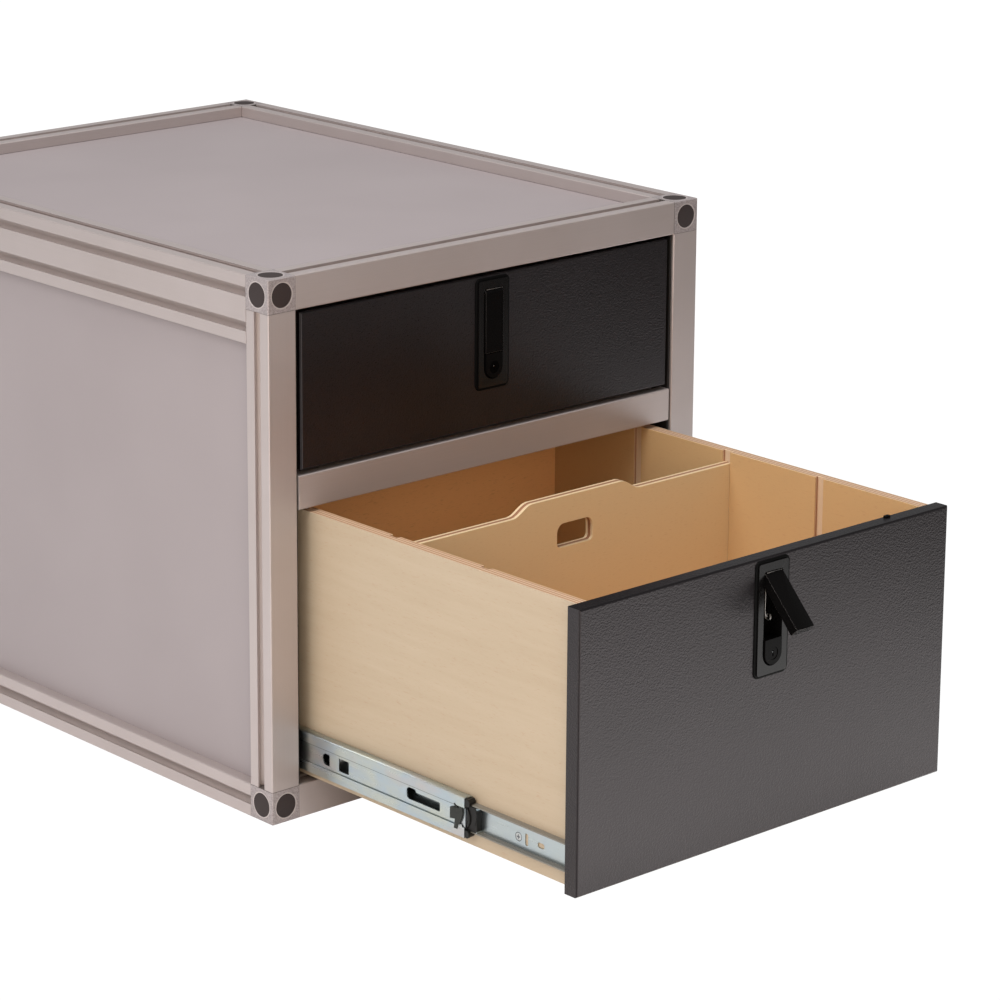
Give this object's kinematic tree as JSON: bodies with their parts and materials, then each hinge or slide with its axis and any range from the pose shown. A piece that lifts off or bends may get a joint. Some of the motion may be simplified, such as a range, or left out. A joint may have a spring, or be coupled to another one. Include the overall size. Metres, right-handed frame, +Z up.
{
  "type": "van drawer system",
  "caption": "Box cabinet of slotted aluminium profile with a latched drawer above a deeper divided one on full-extension slides, for a vehicle's load area.",
  "frame": {"origin": "middle of the bounding box at the floor, with the lower drawer out and its lever lifted as pictured", "axes": "+X to the right seen from the front, +Y to the back of the cabinet, +Z up; the drawers open along -Y"},
  "size_m": [0.505, 1.0414, 0.482],
  "materials": {
    "frame_profile": "champagne anodised, satin",
    "panel": "smooth matte champagne grey skin on a light core",
    "mounting_plate": "black anodised, matte",
    "drawer_face": "fine-grained dark grey laminate on board",
    "plywood": "clear-coated birch plywood",
    "slide": "bright zinc plated",
    "latch": "satin black",
    "lock": "dark satin"
  },
  "bodies": {
    "cabinet": {"post_front_left": "frame_profile", "post_front_right": "frame_profile", "post_rear_left": "frame_profile", "post_rear_right": "frame_profile", "top_rail_front": "frame_profile", "bottom_rail_front": "frame_profile", "top_rail_rear": "frame_profile", "bottom_rail_rear": "frame_profile", "top_rail_left": "frame_profile", "bottom_rail_left": "frame_profile", "top_rail_right": "frame_profile", "bottom_rail_right": "frame_profile", "mid_rail_front": "frame_profile", "corner_top_front_left": "frame_profile", "corner_top_front_right": "frame_profile", "corner_top_rear_left": "frame_profile", "corner_top_rear_right": "frame_profile", "corner_bottom_front_left": "frame_profile", "corner_bottom_front_right": "frame_profile", "corner_bottom_rear_left": "frame_profile", "corner_bottom_rear_right": "frame_profile", "top_panel": "panel", "left_panel": "panel", "right_panel": "panel", "rear_panel": "panel", "mounting_plate_left": "mounting_plate", "mounting_plate_right": "mounting_plate", "lower_left_slide_cabinet": "slide", "lower_right_slide_cabinet": "slide", "upper_left_slide_cabinet": "slide", "upper_right_slide_cabinet": "slide"},
    "lower_slide_middles": {"lower_left_slide_middle": "slide", "lower_right_slide_middle": "slide"},
    "lower_drawer": {"lower_face": "drawer_face", "lower_left_side": "plywood", "lower_right_side": "plywood", "lower_front_board": "plywood", "lower_back_board": "plywood", "lower_bottom": "plywood", "lower_divider": "plywood", "lower_left_slide_drawer": "slide", "lower_right_slide_drawer": "slide", "lower_latch_housing": "latch"},
    "lower_lever": {"lower_latch_lever": "latch"},
    "lower_lock": {"lower_lock_plug": "lock"},
    "lower_bolt": {"lower_latch_bolt": "latch"},
    "upper_slide_middles": {"upper_left_slide_middle": "slide", "upper_right_slide_middle": "slide"},
    "upper_drawer": {"upper_face": "drawer_face", "upper_left_side": "plywood", "upper_right_side": "plywood", "upper_front_board": "plywood", "upper_back_board": "plywood", "upper_bottom": "plywood", "upper_left_slide_drawer": "slide", "upper_right_slide_drawer": "slide", "upper_latch_housing": "latch"},
    "upper_lever": {"upper_latch_lever": "latch"},
    "upper_lock": {"upper_lock_plug": "lock"},
    "upper_bolt": {"upper_latch_bolt": "latch"}
  },
  "joints": [
    {"name": "lower_drawer_slide", "type": "slide", "parent": "cabinet", "child": "lower_drawer", "axis": [0, -1, 0], "range_m": [-0.34175, 0.11525]},
    {"name": "lower_middle_slide", "type": "slide", "parent": "cabinet", "child": "lower_slide_middles", "axis": [0, -1, 0], "range_m": [-0.23547, 0.07951]},
    {"name": "lower_lever_hinge", "type": "hinge", "parent": "lower_drawer", "child": "lower_lever", "pos_m": [0, -0.48159, 0.2565], "axis": [-1, 0, 0], "range_deg": [-43, 17]},
    {"name": "lower_lock_turn", "type": "hinge", "parent": "lower_drawer", "child": "lower_lock", "pos_m": [0, -0.48109, 0.19], "axis": [0, 1, 0], "range_deg": [0, 90]},
    {"name": "lower_bolt_slide", "type": "slide", "parent": "lower_drawer", "child": "lower_bolt", "axis": [0, 0, 1], "range_m": [0, 0.014]},
    {"name": "upper_drawer_slide", "type": "slide", "parent": "cabinet", "child": "upper_drawer", "axis": [0, -1, 0], "range_m": [0, 0.457]},
    {"name": "upper_middle_slide", "type": "slide", "parent": "cabinet", "child": "upper_slide_middles", "axis": [0, -1, 0], "range_m": [0, 0.31497]},
    {"name": "upper_lever_hinge", "type": "hinge", "parent": "upper_drawer", "child": "upper_lever", "pos_m": [0, -0.13984, 0.43225], "axis": [-1, 0, 0], "range_deg": [0, 60]},
    {"name": "upper_lock_turn", "type": "hinge", "parent": "upper_drawer", "child": "upper_lock", "pos_m": [0, -0.13934, 0.36575], "axis": [0, 1, 0], "range_deg": [0, 90]},
    {"name": "upper_bolt_slide", "type": "slide", "parent": "upper_drawer", "child": "upper_bolt", "axis": [0, 0, 1], "range_m": [0, 0.014]}
  ],
  "couplings": [
    {"joint": "lower_middle_slide", "follows": "lower_drawer_slide", "ratio": 0.689},
    {"joint": "upper_middle_slide", "follows": "upper_drawer_slide", "ratio": 0.689}
  ]
}
